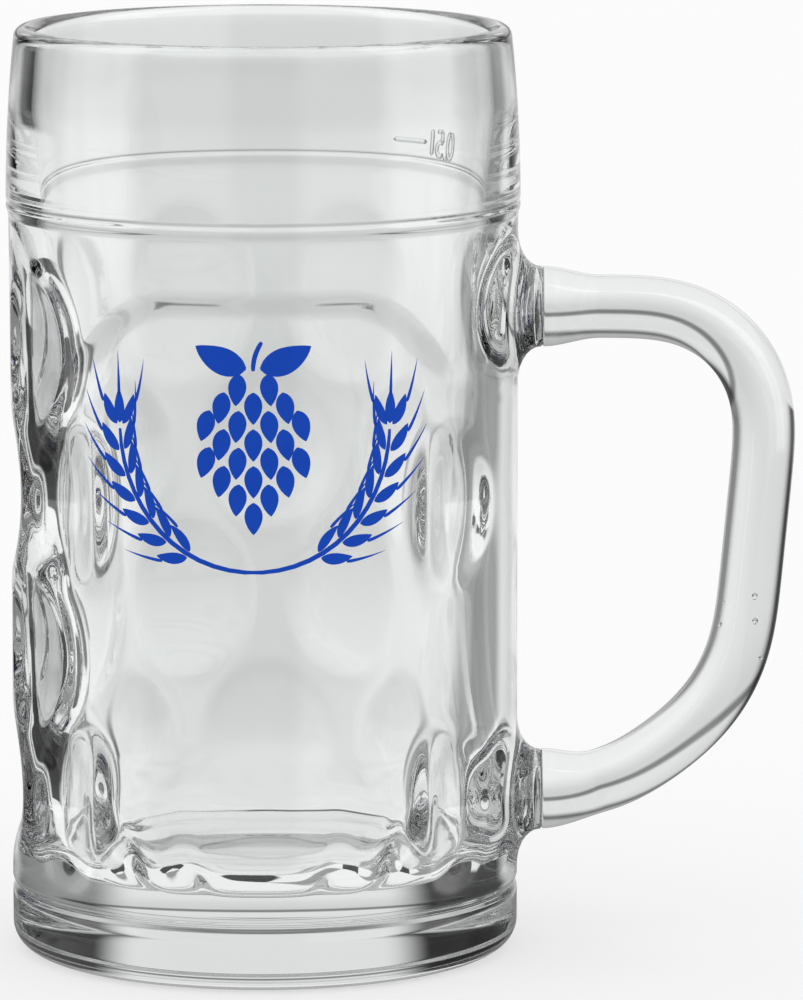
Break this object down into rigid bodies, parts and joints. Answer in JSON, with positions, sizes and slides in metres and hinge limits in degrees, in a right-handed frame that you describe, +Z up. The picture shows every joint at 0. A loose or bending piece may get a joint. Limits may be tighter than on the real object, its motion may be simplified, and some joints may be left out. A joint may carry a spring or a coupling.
{
  "type": "beer mug",
  "caption": "Tall clear glass beer mug with staggered round dimples, a smooth front panel, a plain rim zone and a welded loop handle.",
  "frame": {"origin": "on the table, under the middle of the bowl, in the middle of the flat base", "axes": "+Z up along the bowl's axis, +X towards the handle, -Y towards the smooth print panel"},
  "size_m": [0.1362, 0.0884, 0.16],
  "materials": {
    "clear_glass": "clear pressed glass, fire polished, with a faint grey-green cast in thick places",
    "print_enamel": "blue enamel print fired onto the glass, satin gloss"
  },
  "bodies": {
    "root": {"mug_body": "clear_glass", "handle": "clear_glass"}
  },
  "joints": []
}
